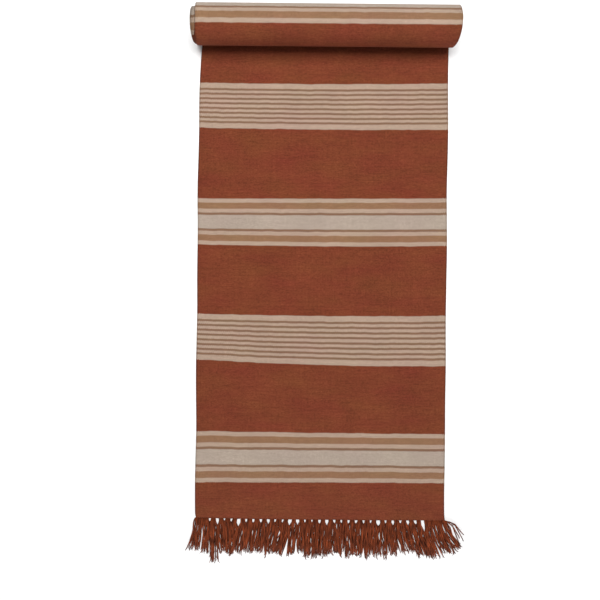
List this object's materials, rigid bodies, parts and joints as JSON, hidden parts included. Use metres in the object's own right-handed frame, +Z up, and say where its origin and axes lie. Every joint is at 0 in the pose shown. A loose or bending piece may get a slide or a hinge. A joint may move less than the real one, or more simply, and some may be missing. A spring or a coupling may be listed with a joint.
{
  "type": "runner rug",
  "caption": "Flat-woven striped cotton runner with tasselled ends, lying on the floor with its far end rolled up; the outer half turn of the roll opens onto the floor and the front fringe flips over.",
  "frame": {"origin": "on the floor, under the middle of the rug as it lies with its far end rolled up, tassels included", "axes": "+X across the rug, +Y along it from the front tassels to the roll, +Z up"},
  "size_m": [0.8502, 1.6567, 0.1149],
  "materials": {
    "rust_weave": "matte weft-faced cotton",
    "wide_stripes": "matte weft-faced cotton, cream and tan stripes",
    "pinstripes": "matte weft-faced cotton, cream with fine tan stripes",
    "edge_cord": "matte cotton cord",
    "fringe_yarn": "matte plied cotton yarn"
  },
  "bodies": {
    "flat_cloth": {"front_heading": "rust_weave", "rust_field_1": "rust_weave", "wide_stripe_band_1": "wide_stripes", "rust_field_2": "rust_weave", "pinstripe_band_1": "pinstripes", "rust_field_3": "rust_weave", "wide_stripe_band_2": "wide_stripes", "rust_field_4": "rust_weave", "pinstripe_band_2": "pinstripes", "rust_field_5": "rust_weave", "left_selvedge": "edge_cord", "right_selvedge": "edge_cord", "front_edge_cord": "edge_cord"},
    "front_fringe": {"front_tassels": "fringe_yarn"},
    "strip_1": {"unrolling_cloth_1": "rust_weave"},
    "strip_2": {"unrolling_cloth_2": "rust_weave"},
    "strip_3": {"unrolling_cloth_3": "wide_stripes"},
    "strip_4": {"unrolling_cloth_4": "wide_stripes"},
    "strip_5": {"unrolling_cloth_5": "wide_stripes"},
    "strip_6": {"unrolling_cloth_6": "wide_stripes"},
    "roll_core": {"wide_stripe_band_3": "wide_stripes", "rust_field_6": "rust_weave", "pinstripe_band_3": "pinstripes", "rust_field_7": "rust_weave", "wide_stripe_band_4": "wide_stripes", "rust_field_8": "rust_weave", "back_heading": "rust_weave", "back_edge_cord": "edge_cord", "back_tassels": "fringe_yarn"}
  },
  "joints": [
    {"name": "flip_front_fringe", "type": "hinge", "parent": "flat_cloth", "child": "front_fringe", "pos_m": [0, -0.71638, 0.0048], "axis": [-1, 0, 0], "range_deg": [0, 180]},
    {"name": "unroll_1", "type": "hinge", "parent": "flat_cloth", "child": "strip_1", "pos_m": [0, 0.77013, 0.0032], "axis": [-1, 0, 0], "range_deg": [0, 15]},
    {"name": "unroll_2", "type": "hinge", "parent": "strip_1", "child": "strip_2", "pos_m": [0, 0.79765, 0.01057], "axis": [-1, 0, 0], "range_deg": [0, 30]},
    {"name": "unroll_3", "type": "hinge", "parent": "strip_2", "child": "strip_3", "pos_m": [0, 0.81769, 0.03061], "axis": [-1, 0, 0], "range_deg": [0, 30]},
    {"name": "unroll_4", "type": "hinge", "parent": "strip_3", "child": "strip_4", "pos_m": [0, 0.82498, 0.05782], "axis": [-1, 0, 0], "range_deg": [0, 30]},
    {"name": "unroll_5", "type": "hinge", "parent": "strip_4", "child": "strip_5", "pos_m": [0, 0.81773, 0.08489], "axis": [-1, 0, 0], "range_deg": [0, 30]},
    {"name": "unroll_6", "type": "hinge", "parent": "strip_5", "child": "strip_6", "pos_m": [0, 0.79803, 0.10458], "axis": [-1, 0, 0], "range_deg": [0, 30]},
    {"name": "unroll_7", "type": "hinge", "parent": "strip_6", "child": "roll_core", "pos_m": [0, 0.77128, 0.11175], "axis": [-1, 0, 0], "range_deg": [0, 15]}
  ]
}
